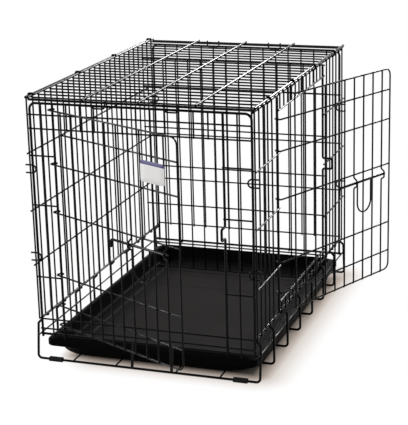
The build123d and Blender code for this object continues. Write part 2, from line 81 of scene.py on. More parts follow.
def eased(corners, radius, steps=6):
    """A bent wire's path. At every inner corner both runs stop short by radius / tan(half the inside angle),
    and an arc joins them: start and stop arms about its centre, mixed by the sines of the angles to go."""
    p = np.asarray(corners, float)
    radius = np.broadcast_to(np.asarray(radius, float), len(p) - 2)[:, None]
    before, after = unit(p[:-2] - p[1:-1]), unit(p[2:] - p[1:-1])
    half = np.arccos(np.clip((before * after).sum(1), -1, 1))[:, None] / 2
    centre = p[1:-1] + unit(before + after) * radius / np.sin(half)
    start = p[1:-1] + before * radius / np.tan(half) - centre
    stop = p[1:-1] + after * radius / np.tan(half) - centre
    turn = (np.pi - 2 * half)[:, None]
    t = np.linspace(0, 1, steps + 1)[None, :, None]
    arms = np.sin((1 - t) * turn) * start[:, None] + np.sin(t * turn) * stop[:, None]
    arcs = centre[:, None] + arms / np.sin(turn)
    path = np.vstack([p[:1], arcs.reshape(-1, 3), p[-1:]])
    far = np.linalg.norm(np.diff(path, axis=0), axis=1) > 1e-4
    return path[np.append(True, far)]


def ring_faces(rings, sides):
    """Quads between each ring of points and the next one, then a cap on the first ring and on the last."""
    i = np.arange(rings - 1)[:, None] * sides
    j = np.arange(sides)
    k = (j + 1) % sides
    quads = np.stack(np.broadcast_arrays(i + j, i + sides + j, i + sides + k, i + k), -1).reshape(-1, 4)
    return quads.tolist() + [j.tolist(), (j[::-1] + (rings - 1) * sides).tolist()]


def carried(path, normal, section):
    """A section of (m, n) offsets carried along a path in the plane with normal N: p + m N + n (N x T), T
    being the mean direction of the runs on both sides. Each cut end tapers to a smaller, flat ring."""
    p = np.asarray(path, float)
    section = np.asarray(section, float)
    run = unit(np.diff(p, axis=0))
    tangent = unit(np.vstack([run[:1], run[:-1] + run[1:], run[-1:]]))
    cut = cut_length * section.max()
    p = np.vstack([p[:1], p[:1] + run[:1] * cut, p[1:-1], p[-1:] - run[-1:] * cut, p[-1:]])
    arm = np.cross(normal, np.vstack([tangent[:1], tangent, tangent[-1:]]))
    size = np.ones(len(p))
    size[[0, -1]] = cut_share
    offsets = section[:, :1] * np.asarray(normal, float) + section[:, 1:] * arm[:, None]
    rings = p[:, None] + size[:, None, None] * offsets
    return rings.reshape(-1, 3), ring_faces(len(p), len(section))


def drawn(path, normal, diameter=wire_d, sides=wire_sides):
    """Round wire with its coat: a circle carried along a path that lies in one plane."""
    a = np.linspace(0, 2 * np.pi, sides, endpoint=False)
    return carried(path, normal, np.column_stack([np.cos(a), np.sin(a)]) * (diameter / 2 + coat_t))


def crate_piece(name, shapes, body, finish, nodes=(), sharp=38.0):
    """Joins shapes in millimetres about the crate's middle into one mesh in metres that rides on a body."""
    counts = np.cumsum([0] + [len(points) for points, faces in shapes])
    points = np.vstack([points for points, faces in shapes]) * MM + crate_middle
    faces = [[v + first for v in face] for (_, faces), first in zip(shapes, counts) for face in faces]
    mesh = bpy.data.meshes.new(name)
    mesh.from_pydata(points.tolist(), [], faces)
    mesh.shade_smooth()
    mesh.set_sharp_from_angle(angle=radians(sharp))
    mesh.materials.append(finish)
    piece = bpy.data.objects.new(name, mesh)
    bpy.context.collection.objects.link(piece)
    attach(piece, body)
    if nodes:
        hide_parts(*nodes)


def fill(made, sockets):
    """Joins each named socket of a node to another node's output, or gives it a plain value."""
    for socket, value in sockets.items():
        if isinstance(value, bpy.types.NodeSocket):
            made.id_data.links.new(value, made.inputs[socket])
        else:
            made.inputs[socket].default_value = value
    return made


def add_node(tree, kind, sockets=(), **settings):
    """A new node of a kind, with its settings made first and its sockets filled after."""
    made = tree.nodes.new("ShaderNode" + kind)
    for setting, value in settings.items():
        setattr(made, setting, value)
    return fill(made, dict(sockets))


def new_finish(name):
    """An empty node material, with its shader, its object coordinates and a function that adds a node."""
    finish = bpy.data.materials.new(name)
    finish.use_nodes = True
    node = partial(add_node, finish.node_tree)
    return finish, finish.node_tree.nodes["Principled BSDF"], node("TexCoord").outputs["Object"], node


def noise(node, place, scale, detail):
    """Fractal noise, from 0 to 1, with as many swells to the metre as its scale."""
    return node("TexNoise", {"Vector": place, "Scale": scale, "Detail": detail}).outputs["Fac"]


def spread(node, value, low, high):
    """A value from 0 to 1 spread between low and high."""
    return node("MapRange", {"Value": value, "To Min": low, "To Max": high}).outputs["Result"]


def blend(node, share, first, second):
    """The first colour where the share is 0, the second where it is 1."""
    return node("Mix", {"Factor": share, 6: first, 7: second}, data_type="RGBA").outputs[2]


def relief(node, height, strength, depth):
    """Normals of a surface that is raised by a height, by the depth in metres at most."""
    return node("Bump", {"Height": height, "Strength": strength, "Distance": depth}).outputs["Normal"]


def dipped_paint():
    """Black dip paint: near black, its gloss uneven from noise at 12 mm, its skin pebbled at 0.5 mm."""
    finish, shader, place, node = new_finish("black_dip_paint")
    cloud = noise(node, place, 80.0, 3.0)
    skin = noise(node, place, 1800.0, 2.0)
    fill(shader, {
        "Base Color": blend(node, cloud, (0.0008, 0.0008, 0.0008, 1), (0.002, 0.002, 0.002, 1)),
        "Specular IOR Level": 0.07,
        "Roughness": spread(node, cloud, 0.1, 0.17),
        "Normal": relief(node, skin, 0.05, 0.0002),
    })
    return finish


paint = dipped_paint()


def painted(name, shapes, body, nodes=()):
    """A piece of wire work in black paint."""
    crate_piece(name, shapes, body, paint, nodes)


def tray_u(y, toe):
    """One U of the tray: tip, jog, riser, floor and back up, its foot pushed out by the toe."""
    half = [(tray_x, riser_top), (riser_x, riser_top - riser_jog), (riser_x, floor_z)]
    outline = np.array([(-x, z) for x, z in half] + half[::-1])
    lean = y + toe * (riser_top - outline[:, 1]) / (riser_top - floor_z)
    path = np.column_stack([outline[:, 0], lean, outline[:, 1]])
    normal = unit(np.array([0, riser_top - floor_z, toe]))
    return drawn(eased(path, [tip_bend, tray_bend, tray_bend, tip_bend]), normal, rail_d, rail_sides)


ends = [tray_u(tray_rows[0], -tray_toe), tray_u(tray_rows[-1], tray_toe)]
painted("tray_ends", ends, "base", ["tray_end_frames"])
crosses = [tray_u(y, 0) for y in tray_rows[1:-1]]
painted("tray_crosses", crosses, "base", ["tray_cross_wires"])

# Floor wires, side rails and end rails. Straight lengths welded to the tray's bent wires where they meet.
# The side panels are curled round the thick side rails, and the back panel round the back end rail.
ACROSS, ALONG, UP = np.eye(3)
lower_rail_x = riser_x - fold_r
floor_wire_z = floor_z + fold_r
end_rail_z = 61.0
floor_x = riser_x * np.array([-0.66, -0.27, 0.27, 0.66])
floor_reach = toe_y + rail_d / 2
rail_reach = tray_y + rail_d / 2
end_reach = lower_rail_x - wire_d / 2
bead_r, bead_sides = 2.3, 6
bead_latitudes = [-60, -20, 20, 60]
tip_seam = 0.8


def straight(start, stop, diameter=wire_d, sides=wire_sides):
    """A straight length of wire from start to stop."""
    run = unit(np.subtract(stop, start).astype(float))
    normal = ALONG if abs(run[1]) < 0.5 else UP
    return drawn([start, stop], unit(np.cross(run, np.cross(normal, run))), diameter, sides)


def rail(start, stop):
    """A straight length of thick wire."""
    return straight(start, stop, rail_d, rail_sides)


def turned(faces):
    """The same faces looking the other way, each from the same first corner."""
    return [face[:1] + face[:0:-1] for face in faces]


def beads(points):
    """Weld flash, a bead where two wires cross: a ball of six points at each of four latitudes."""
    lat = np.radians(bead_latitudes)[:, None]
    lon = np.radians(np.arange(bead_sides) * 360.0 / bead_sides)
    ring = np.cos(lat)
    ball = np.stack(np.broadcast_arrays(ring * np.cos(lon), ring * np.sin(lon), np.sin(lat)), -1)
    faces = turned(ring_faces(len(bead_latitudes), bead_sides))
    return [(point + bead_r * ball.reshape(-1, 3), faces) for point in points]


def crossings(x, y, z):
    """Every point of a grid of places across, along and up the crate."""
    return np.stack(np.meshgrid(x, y, z, indexing="ij"), -1).reshape(-1, 3)


floor_wires = [straight((x, -floor_reach, floor_wire_z), (x, floor_reach, floor_wire_z)) for x in floor_x]
painted("tray_floor", floor_wires, "base", ["tray_floor_wires"])
side_rails = []
end_rails = []
for s in (-1, 1):
    high_x, low_x, y = s * tray_x, s * lower_rail_x, s * tray_y
    side_rails.append(rail((high_x, -rail_reach, side_rail_z), (high_x, rail_reach, side_rail_z)))
    side_rails.append(straight((low_x, -half_l, end_rail_z), (low_x, half_l, end_rail_z)))
    end_rails.append(rail((-end_reach, y, end_rail_z), (end_reach, y, end_rail_z)))
painted("tray_sides", side_rails, "base", ["tray_side_rails"])
painted("tray_end_bars", end_rails, "base", ["tray_end_rails"])
inner_rows = tray_rows[1:-1]
riser_seam_x = riser_x - rail_d / 2
welds = [crossings(floor_x, [-toe_y, *inner_rows, toe_y], [floor_z + rail_d / 2])]
welds.append(crossings([-riser_seam_x, riser_seam_x], inner_rows, [end_rail_z]))
welds.append(crossings([-tray_x, tray_x], tray_rows, [riser_top + tip_seam]))
painted("tray_welds", beads(np.vstack(welds)), "base")

# Rubber feet. Black moulded sleeves pushed over the floor runs of the two end frames, which they lift off
# the ground. They are rounded oblongs in section and a little smaller at both ends.
foot_x = tray_x - 35.0
foot_half, foot_h, foot_l = 6.5, 10.2, 33.0
foot_power, foot_end_power, foot_end_size = 3.2, 8, 0.8
foot_end_drop = 0.28
foot_rings, foot_sides = 17, 28


def super_circle(c, s, power):
    """How far a super-circle reaches at an angle: (|cos|^power + |sin|^power)^(-1 / power)."""
    return (np.abs(c) ** power + np.abs(s) ** power) ** (-1 / power)


def rubber_sleeve(x, y):
    """A super-circle carried along X. Its size is 0.8 + 0.2 (1 - |u|^8)^(1/8), u going from -1 to 1 between
    the ends, and its height follows that size by 0.28 only."""
    u = np.sin(np.linspace(-1, 1, foot_rings) * np.pi / 2)[:, None]
    v = np.linspace(0, 2 * np.pi, foot_sides, endpoint=False)[None]
    fall = (1 - np.abs(u) ** foot_end_power) ** (1 / foot_end_power)
    size = foot_end_size + (1 - foot_end_size) * fall
    c, s = np.cos(v), np.sin(v)
    reach = super_circle(c, s, foot_power)
    across = foot_half * size * reach * c
    high = foot_h / 2 * (1 + reach * s * (1 - foot_end_drop + foot_end_drop * size))
    points = np.stack(np.broadcast_arrays(x + u * foot_l / 2, y + across, high), -1)
    return points.reshape(-1, 3), ring_faces(foot_rings, foot_sides)


def foot_rubber():
    """Matt black rubber, a little greyer where noise at 6 mm says dust has settled."""
    finish, shader, place, node = new_finish("foot_rubber")
    dust = noise(node, place, 160.0, 4.0)
    fill(shader, {
        "Base Color": blend(node, dust, (0.004, 0.0045, 0.005, 1), (0.014, 0.015, 0.016, 1)),
        "Specular IOR Level": 0.1,
        "Roughness": 0.72,
        "Normal": relief(node, dust, 0.2, 0.0003),
    })
    return finish


feet = [rubber_sleeve(s * foot_x, t * toe_y) for s in (-1, 1) for t in (-1, 1)]
crate_piece("feet", feet, "base", foot_rubber(), ["rubber_feet"])

# Left side. Uprights on a pitch of about 32 mm welded behind three long bars and under a thick top rail.
# Every third upright is curled round the tray's side rail, which is the side's fold hinge. U hooks at its
# edges hold the end panels.
crate_h = 620.0
lid_gap, left_gap, eye_gap = 0.4, 0.3, 0.1
lid_rail_x, lid_rail_z = half_w - rail_d / 2, crate_h - rail_d / 2
lid_end_z = crate_h - 1.5 * rail_d
side_top_z = lid_end_z - rail_d - lid_gap
side_bar_x = half_w - wire_d / 2
side_base = side_rail_z - rail_d / 2
eye_r = rail_d / 2 + eye_gap + wire_d / 2
end_bar_y, end_wire_y = half_l - wire_d / 2, half_l - 1.5 * wire_d
side_pitch = 31.75
side_y = np.linspace(-end_wire_y, end_wire_y, round(2 * end_wire_y / side_pitch) + 1)
curl_room = np.abs(side_y[:, None] - tray_rows).min(1) > rail_d
curled = (np.arange(len(side_y)) % 3 == 1) & curl_room
head_bend = 6.0
stile_gap = 2.0
stile_x = side_wire_x - wire_d / 2 - stile_gap - rail_d / 2
hook_half, hook_bend = 9.0, 8.99
hook_past_stile, hook_past_side = 9.0, 5.0
hook_z = crate_h * np.array([0.403, 0.734])
left_top_z = lid_rail_z - left_gap
left_head = left_top_z - rail_d / 2
left_bar_z = crate_h * np.array([0.369, 0.575, 0.790])


def side_upright(s, y, low, high, foot, head):
    """One upright: a half circle under the tray's rail where its foot is curled, a straight run, and where
    its head is curled an S outward and a half circle over the lid's rail."""
    x = s * side_wire_x
    path = [(x, y, low)]
    radii = []
    if foot:
        inside, below = s * (tray_x - fold_r), side_rail_z - fold_r
        path = [(inside, y, side_rail_z), (inside, y, below), (x, y, below)]
        radii += [fold_r, fold_r]
    if head:
        out, over, inside = s * (lid_rail_x + eye_r), lid_rail_z + eye_r, s * (lid_rail_x - eye_r)
        path += [(x, y, side_top_z), (out, y, side_top_z + rail_d), (out, y, over)]
        path += [(inside, y, over), (inside, y, lid_rail_z - wire_d / 2)]
        radii += [head_bend, head_bend, eye_r, eye_r]
    else:
        path.append((x, y, high))
    return drawn(eased(path, radii) if radii else path, ALONG)


def corner_hooks(s):
    """U hooks across the end panels' stiles: two legs and a half circle between them."""
    near, far = s * (stile_x - hook_past_stile), s * (half_w + hook_past_side)
    hooks = []
    for y in (-end_bar_y, end_bar_y):
        for z in hook_z:
            low, high = z - hook_half, z + hook_half
            path = [(far, y, high), (near, y, high), (near, y, low), (far, y, low)]
            hooks.append(drawn(eased(path, hook_bend), ALONG))
    return hooks


uprights = [side_upright(-1, y, side_base, left_head, foot, False) for y, foot in zip(side_y, curled)]
painted("left_uprights", uprights, "base", ["left_side_uprights"])
bars = [straight((-side_bar_x, -half_l, z), (-side_bar_x, half_l, z)) for z in left_bar_z]
painted("left_bars", bars, "base", ["left_side_bars"])
top = rail((-side_wire_x, -half_l, left_top_z), (-side_wire_x, half_l, left_top_z))
painted("left_top_rail", [top], "base", ["left_side_top_rail"])
painted("left_hooks", corner_hooks(-1), "base", ["left_side_hooks"])
bar_seam_x = side_wire_x + wire_d / 2
rail_seam_x = side_wire_x - wire_d / 2
welds = [crossings([-bar_seam_x], side_y, left_bar_z)]
welds.append(crossings([-side_wire_x], side_y, [left_head]))
welds.append(crossings([-rail_seam_x], side_y[~curled], [side_rail_z]))
painted("left_welds", beads(np.vstack(welds)), "base")

# Right side with its doorway. Two thick jambs stand between the tray's rail and the top rail, with short
# uprights above the header and below the sill. Every sixth upright curls over the lid's edge rail, which
# turns in it.
side_rail_x = half_w - wire_d - rail_d / 2
side_head = side_top_z + rail_d / 2
door_w, door_h = crate_w - 129.0, crate_h - 120.0
door_gap, bolt_gap, keeper_gap = 3.7, 0.1, 0.3
bolt_d = 5.0
bolt_rise = door_h * 0.498
door_bar_out = wire_d + rail_d / 2 + door_gap + wire_d / 2
door_wire_out = door_bar_out + wire_d
bolt_out = door_wire_out + wire_d / 2 + bolt_gap + bolt_d / 2
keeper_out = bolt_out + bolt_d / 2 + keeper_gap + rail_d / 2
keeper_u = door_w - 11.5
keeper_half, keeper_bend = 13.0, 5.0
side_hinge_y = 174.0 - half_l
side_keeper_y = side_hinge_y + keeper_u
side_door_z = side_rail_z + 6.0
header_z, sill_z = crate_h - 44.0, side_rail_z + 32.0
right_bar_z = crate_h * np.array([0.351, 0.570, 0.774])
door_margin, jamb_room = 20.0, 4 * wire_d
in_door = (side_y > side_hinge_y - door_margin) & (side_y < side_keeper_y + door_margin)
near_jamb = np.minimum(side_y - side_hinge_y, side_keeper_y - side_y) <= jamb_room
holds_lid = np.arange(len(side_y)) % 6 == 3


def keeper_path(foot_z, head_z, bolt_z):
    """Distance out and height along a jamb that is bent into a square loop where the bolt goes in."""
    low, high = bolt_z - keeper_half, bolt_z + keeper_half
    return np.array([(0, foot_z), (0, low), (keeper_out, low), (keeper_out, high), (0, high), (0, head_z)])


uprights = []
shorts = []
for y, foot, head, door, jamb in zip(side_y, curled, holds_lid, in_door, near_jamb):
    if not door:
        uprights.append(side_upright(1, y, side_base, side_head, foot, head))
    elif not jamb:
        shorts.append(side_upright(1, y, header_z - wire_d, side_head, False, head))
        shorts.append(side_upright(1, y, side_base, sill_z + wire_d, foot, False))
painted("right_uprights", uprights, "base", ["right_side_uprights"])
painted("right_shorts", shorts, "base", ["right_side_short_uprights"])
low_y, high_y = side_hinge_y - rail_d / 2, side_keeper_y + rail_d / 2
bars = [straight((side_bar_x, low_y, z), (side_bar_x, high_y, z)) for z in (header_z, sill_z)]
bars += [straight((side_bar_x, -half_l, z), (side_bar_x, low_y + rail_d, z)) for z in right_bar_z]
bars += [straight((side_bar_x, high_y - rail_d, z), (side_bar_x, half_l, z)) for z in right_bar_z]
painted("right_bars", bars, "base", ["right_side_bars"])
foot_z, head_z = side_rail_z + rail_d / 2, side_top_z - rail_d / 2
jamb = rail((side_rail_x, side_hinge_y, foot_z), (side_rail_x, side_hinge_y, head_z))
painted("right_hinge_jamb", [jamb], "base", ["right_side_hinge_jamb"])
out, z = keeper_path(foot_z, head_z, side_door_z + bolt_rise).T
path = np.column_stack([side_rail_x + out, np.full(len(z), side_keeper_y), z])
jamb = drawn(eased(path, keeper_bend), ALONG, rail_d, rail_sides)
painted("right_keeper_jamb", [jamb], "base", ["right_side_keeper_jamb"])
top = rail((tray_x, -half_l, side_top_z), (tray_x, half_l, side_top_z))
painted("right_top_rail", [top], "base", ["right_side_top_rail"])
painted("right_hooks", corner_hooks(1), "base", ["right_side_hooks"])
jambs_y = [side_hinge_y, side_keeper_y]
long_y, short_y = side_y[~in_door], side_y[in_door & ~near_jamb]
welds = [crossings([bar_seam_x], short_y, [header_z, sill_z])]
welds.append(crossings([bar_seam_x], long_y, right_bar_z))
welds.append(crossings([rail_seam_x], np.append(short_y, long_y), [side_top_z]))
welds.append(crossings([side_bar_x - wire_d / 2], jambs_y, [header_z, sill_z, *right_bar_z]))
painted("right_welds", beads(np.vstack(welds)), "base")

# Front panel. One length of thick wire bent into an arch stands against the tray's front end rail. Header and
# sill bars run right across it, short bars fill the bays beside the door, and two jambs hold the door.
end_top_z = crate_h - 16.0
end_head_z = end_top_z - rail_d / 2
end_foot_z = end_rail_z - rail_d
end_edge = stile_x + rail_d / 2
end_pitch = 33.0
arch_bend, arch_steps = 14.0, 8
front_hinge_x = 66.0 - half_w
front_keeper_x = front_hinge_x + keeper_u
front_door_z = end_rail_z + 31.0
front_bar_z = np.array([end_rail_z + 16.5, end_rail_z + 40.0, crate_h - 72.5, crate_h - 41.0])
front_header_z = front_bar_z[2:]
bay_z = crate_h * np.array([0.326, 0.600, 0.784])
bay_x = np.array([(front_hinge_x - stile_x) / 2, (front_keeper_x + stile_x) / 2])
header_gaps = round((front_keeper_x - front_hinge_x) / end_pitch)
header_x = np.linspace(front_hinge_x, front_keeper_x, header_gaps + 1)[1:-1]


def arch(y):
    """Stile, rounded top and stile of an end panel."""
    left = [(-stile_x, y, end_foot_z), (-stile_x, y, end_top_z)]
    right = [(stile_x, y, end_top_z), (stile_x, y, end_foot_z)]
    return drawn(eased(left + right, arch_bend, arch_steps), ALONG, rail_d, rail_sides)


painted("front_arch", [arch(-end_frame_y)], "base", ["front_panel_frame"])
bars = [straight((-end_edge, -end_bar_y, z), (end_edge, -end_bar_y, z)) for z in front_bar_z]
painted("front_bars", bars, "base", ["front_panel_bars"])
left_stop, right_start = front_hinge_x + rail_d / 2, front_keeper_x - rail_d / 2
bays = [straight((-end_edge, -end_bar_y, z), (left_stop, -end_bar_y, z)) for z in bay_z]
bays += [straight((right_start, -end_bar_y, z), (end_edge, -end_bar_y, z)) for z in bay_z]
painted("front_bay_bars", bays, "base", ["front_panel_bay_bars"])
uprights = [straight((x, -end_wire_y, end_foot_z), (x, -end_wire_y, end_head_z)) for x in bay_x]
header_low = front_header_z[0] - wire_d
uprights += [straight((x, -end_wire_y, header_low), (x, -end_wire_y, end_head_z)) for x in header_x]
painted("front_uprights", uprights, "base", ["front_panel_uprights"])
jamb = rail((front_hinge_x, -end_frame_y, end_foot_z), (front_hinge_x, -end_frame_y, end_head_z))
painted("front_hinge_jamb", [jamb], "base", ["front_panel_hinge_jamb"])
out, z = keeper_path(end_foot_z, end_head_z, front_door_z + bolt_rise).T
path = np.column_stack([np.full(len(z), front_keeper_x), -end_frame_y - out, z])
jamb = drawn(eased(path, keeper_bend), ACROSS, rail_d, rail_sides)
painted("front_keeper_jamb", [jamb], "base", ["front_panel_keeper_jamb"])
seam_y = end_bar_y - wire_d / 2
posts_x = [-stile_x, front_hinge_x, front_keeper_x, stile_x]
welds = [crossings([*bay_x, *posts_x], [-seam_y], [*front_bar_z, *bay_z])]
welds.append(crossings(header_x, [-seam_y], front_header_z))
welds.append(crossings([*bay_x, *header_x], [-end_wire_y], [end_head_z]))
painted("front_welds", beads(np.vstack(welds)), "base")

# Back panel. The same arch with four bars right across and uprights on a pitch of about 33 mm. Every third
# upright is curled round the tray's back end rail, on which this panel would fold.
back_bar_z = crate_h * np.array([0.170, 0.377, 0.580, 0.787])
back_x = np.linspace(-stile_x, stile_x, round(2 * stile_x / end_pitch) + 1)[1:-1]
painted("back_arch", [arch(end_frame_y)], "base", ["back_panel_frame"])
bars = [straight((-end_edge, end_bar_y, z), (end_edge, end_bar_y, z)) for z in back_bar_z]
painted("back_bars", bars, "base", ["back_panel_bars"])
below, inside, outside = end_rail_z - fold_r, tray_y - fold_r, tray_y + fold_r
uprights = []
for i, x in enumerate(back_x):
    path = [(x, end_wire_y, back_bar_z[0] - wire_d), (x, end_wire_y, end_head_z)]
    if i % 3 == 1:
        curl = [(x, outside, end_head_z), (x, outside, below), (x, inside, below), (x, inside, end_rail_z)]
        path = eased(curl, fold_r)
    uprights.append(drawn(path, ACROSS))
painted("back_uprights", uprights, "base", ["back_panel_uprights"])
welds = [crossings([-stile_x, *back_x, stile_x], [seam_y], back_bar_z)]
welds.append(crossings(back_x, [end_wire_y], [end_head_z]))
painted("back_welds", beads(np.vstack(welds)), "base")

# Lid. Five thick rails run from front to back over cross wires and two thick end rails. Wire clips on the
# left edge hold it to the left side, and U loops at both ends come down outside the end panels.
lid_wire_z = crate_h - rail_d - wire_d / 2
lid_left_x = rail_d + lid_gap - side_wire_x
lid_rail_count = 5
lid_x = np.linspace(lid_left_x, lid_rail_x, lid_rail_count)
lid_y = (side_y[:-1] + side_y[1:]) / 2
lid_ends_y = [rail_d / 2 - half_l, half_l - rail_d / 2]
clip_gap = 0.3
clip_y = half_l * np.array([-0.937, -0.270, 0.312, 0.937])
loop_x = (-88.0, 80.0)
loop_half, loop_drop, loop_bend = 16.0, 4.0, 8.0
rails = [rail((x, -half_l, lid_rail_z), (x, half_l, lid_rail_z)) for x in lid_x]
painted("lid_long_rails", rails, "lid", ["lid_rails"])
crosses = [straight((lid_left_x, y, lid_wire_z), (lid_rail_x, y, lid_wire_z)) for y in lid_y]
painted("lid_crosses", crosses, "lid", ["lid_cross_wires"])
ends = [rail((lid_left_x, y, lid_end_z), (lid_rail_x, y, lid_end_z)) for y in lid_ends_y]
painted("lid_ends", ends, "lid", ["lid_end_rails"])
inside, over = lid_left_x + fold_r, lid_rail_z + fold_r
out, low = -side_wire_x - rail_d / 2 - clip_gap - wire_d / 2, left_head - rail_d
clips = []
for y in clip_y:
    path = [(inside, y, lid_rail_z), (inside, y, over), (out, y, over), (out, y, low)]
    clips.append(drawn(eased(path, fold_r), ALONG))
painted("lid_edge_clips", clips, "lid", ["lid_clips"])
loops = []
low = end_top_z - loop_drop
for y in (-half_l - wire_d / 2, half_l + wire_d / 2):
    for x in loop_x:
        left, right = x - loop_half, x + loop_half
        path = [(left, y, lid_rail_z), (left, y, low), (right, y, low), (right, y, lid_rail_z)]
        loops.append(drawn(eased(path, loop_bend), ALONG))
painted("lid_loops", loops, "lid", ["lid_end_loops"])
painted("lid_welds", beads(crossings(lid_x, [*lid_y, *lid_ends_y], [crate_h - rail_d])), "lid")

# Doors. A wire bent into a C is the free edge. Six bars reach on to the hinge jamb and end in eyes that turn
# on it, and ten uprights are welded over the bars, two of them jogged out into guides for the slide bolt.
# Each bolt is a thick wire with a turned-down tail and a U grip welded under it.
door_pitch, door_count = 36.0, 10
door_u = door_w - door_pitch * np.arange(1, door_count + 1)
door_first = door_w - door_count * door_pitch
door_share = np.array([0, 0.0946, 0.2395, 0.5348, 0.7564, 0.8996, 1.0])
door_bend, door_bend_steps = 16.0, 8
neck_bend = 5.0
guide_wires = (0, 3)
guide_half, guide_flat, guide_gap, guide_bend = 13.0, 7.0, 0.1, 4.0
bolt_end = door_w - 28.0
bolt_l, tail_l, tail_bend = 177.0, 18.0, 6.0
grip_end = door_w - 84.0
grip_w, grip_h, grip_bend, grip_steps, grip_sides = 52.0, 74.0, 25.5, 12, 14
front_eyes, side_eyes = (0, 1, 2, 3, 4, 6), (0, 1, 2, 3, 4, 5)
front_pivot, front_angle = (front_hinge_x, -end_frame_y), radians(-26.0)
side_pivot, side_angle = (side_rail_x, side_hinge_y), radians(90 - 23.7)


def hung(shape, pivot, angle):
    """A shape in a door's own frame, turned about the upright hinge line and put on it."""
    points, faces = shape
    c, s = np.cos(angle), np.sin(angle)
    return points @ np.array([[c, s, 0], [-s, c, 0], [0, 0, 1]]) + [*pivot, 0], faces


def wire_door(name, body, base_z, eyes, pivot, angle):
    """The pieces of one door, laid out from its hinge line (X to the free edge, low Y outward) and hung."""
    bolt_body = body.replace("door", "bolt")
    bar_z = base_z + door_h * door_share
    low, high = bar_z[0], bar_z[-1]
    y_bar, y_wire, y_bolt = -door_bar_out, -door_wire_out, -bolt_out
    bolt_z = base_z + bolt_rise
    edge = [(door_first, y_bar, low), (door_w, y_bar, low), (door_w, y_bar, high), (door_first, y_bar, high)]
    frame_wire = drawn(eased(edge, door_bend, door_bend_steps), ALONG)
    bars = []
    for i, z in enumerate(bar_z):
        end = door_first if z in (low, high) else door_w - wire_d / 2
        eye = [(end, y_bar, z), (-eye_r, y_bar, z), (-eye_r, eye_r, z), (eye_r, eye_r, z), (eye_r, 0, z)]
        if i in eyes:
            bars.append(drawn(eased(eye, [neck_bend, eye_r, eye_r]), UP))
        elif end > door_first:
            bars.append(straight((door_first, y_bar, z), (end, y_bar, z)))
    y_guide = -(bolt_out + bolt_d / 2 + guide_gap + wire_d / 2)
    wires = []
    for i, u in enumerate(door_u):
        path = [(u, y_wire, low), (u, y_wire, high)]
        if i in guide_wires:
            jog = [(u, y_wire, bolt_z - guide_half), (u, y_guide, bolt_z - guide_flat)]
            jog += [(u, y_guide, bolt_z + guide_flat), (u, y_wire, bolt_z + guide_half)]
            path = eased(path[:1] + jog + path[1:], guide_bend)
        wires.append(drawn(path, ACROSS))
    tail = bolt_end - bolt_l
    bolt = [(tail, y_bolt, bolt_z - tail_l), (tail, y_bolt, bolt_z), (bolt_end, y_bolt, bolt_z)]
    bolt_wire = drawn(eased(bolt, tail_bend), ALONG, bolt_d, rail_sides)
    near, far, head, foot = grip_end - grip_w, grip_end, bolt_z - bolt_d / 2, bolt_z - bolt_d / 2 - grip_h
    grip = [(near, y_bolt, head), (near, y_bolt, foot), (far, y_bolt, foot), (far, y_bolt, head)]
    grip_wire = drawn(eased(grip, grip_bend, grip_steps), ALONG, wire_d, grip_sides)
    welds = [crossings(door_u, [y_bar - wire_d / 2], bar_z), crossings([door_w], [y_bar], bar_z[1:-1])]
    grip_welds = crossings([near, far], [y_bolt], [head])
    for kind, shapes, rider, nodes in (
        ("_frame", [frame_wire], body, [body + "_frame"]),
        ("_bars", bars, body, [body + "_bars"]),
        ("_wires", wires, body, [body + "_wires"]),
        ("_bolt", [bolt_wire], bolt_body, [body + "_bolt"]),
        ("_bolt_grip", [grip_wire], bolt_body, [body + "_bolt_grip"]),
        ("_welds", beads(np.vstack(welds)), body, []),
        ("_grip_welds", beads(grip_welds), bolt_body, []),
    ):
        painted(name + kind, [hung(shape, pivot, angle) for shape in shapes], rider, nodes)


wire_door("front_gate", "front_door", front_door_z, front_eyes, front_pivot, front_angle)
wire_door("side_gate", "side_door", side_door_z, side_eyes, side_pivot, side_angle)

# Hang tag. A plain card held flat against the front door's wires, white with a band of colour along its head.
# Its corners are cut round.
tag_w, tag_h, tag_t = 72.0, 46.0, 0.8
tag_power, tag_sides = 14, 96
tag_u = door_w - 69.0
tag_top = front_door_z + door_h * door_share[-2] - 9.5
band_h, band_edge = 8.5, 0.4


def tag_card():
    """A rounded rectangle, a super-circle of power 14 grown from half its size on one face to its edge, round
    the edge and back to half its size on the other face, with a flat cap in the middle of both."""
    a = np.linspace(0, 2 * np.pi, tag_sides, endpoint=False)
    c, s = np.cos(a), np.sin(a)
    reach = super_circle(c, s, tag_power)
    grow = np.array([0.5, 0.992, 1.0, 1.0, 0.992, 0.5])[:, None]
    deep = np.array([0, 0, 0.15, 0.85, 1, 1])[:, None] * tag_t
    x, z = grow * reach * c * tag_w / 2, grow * reach * s * tag_h / 2
    points = np.stack(np.broadcast_arrays(x, -deep, z), -1).reshape(-1, 3)
    points += [tag_u, -(door_wire_out + wire_d / 2), tag_top - tag_h / 2]
    return points, turned(ring_faces(len(grow), tag_sides))


def printed_card():
    """White board with a faint fibre in its tone, and a band of colour over its top eight millimetres."""
    finish, shader, place, node = new_finish("printed_card")
    height = node("SeparateXYZ", {"Vector": place}).outputs["Z"]
    band_foot = tag_top - band_h
    edge = {"Value": height, "From Min": band_foot * MM, "From Max": (band_foot + band_edge) * MM}
    band = node("MapRange", edge).outputs["Result"]
    fibre = noise(node, place, 700.0, 5.0)
    board = blend(node, fibre, (0.80, 0.80, 0.81, 1), (0.87, 0.87, 0.87, 1))
    fill(shader, {
        "Base Color": blend(node, band, board, (0.045, 0.040, 0.16, 1)),
        "Roughness": 0.45,
        "Normal": relief(node, fibre, 0.1, 0.0001),
    })
    return finish


card = hung(tag_card(), front_pivot, front_angle)
crate_piece("tag", [card], "front_door", printed_card(), ["hang_tag"], sharp=50.0)

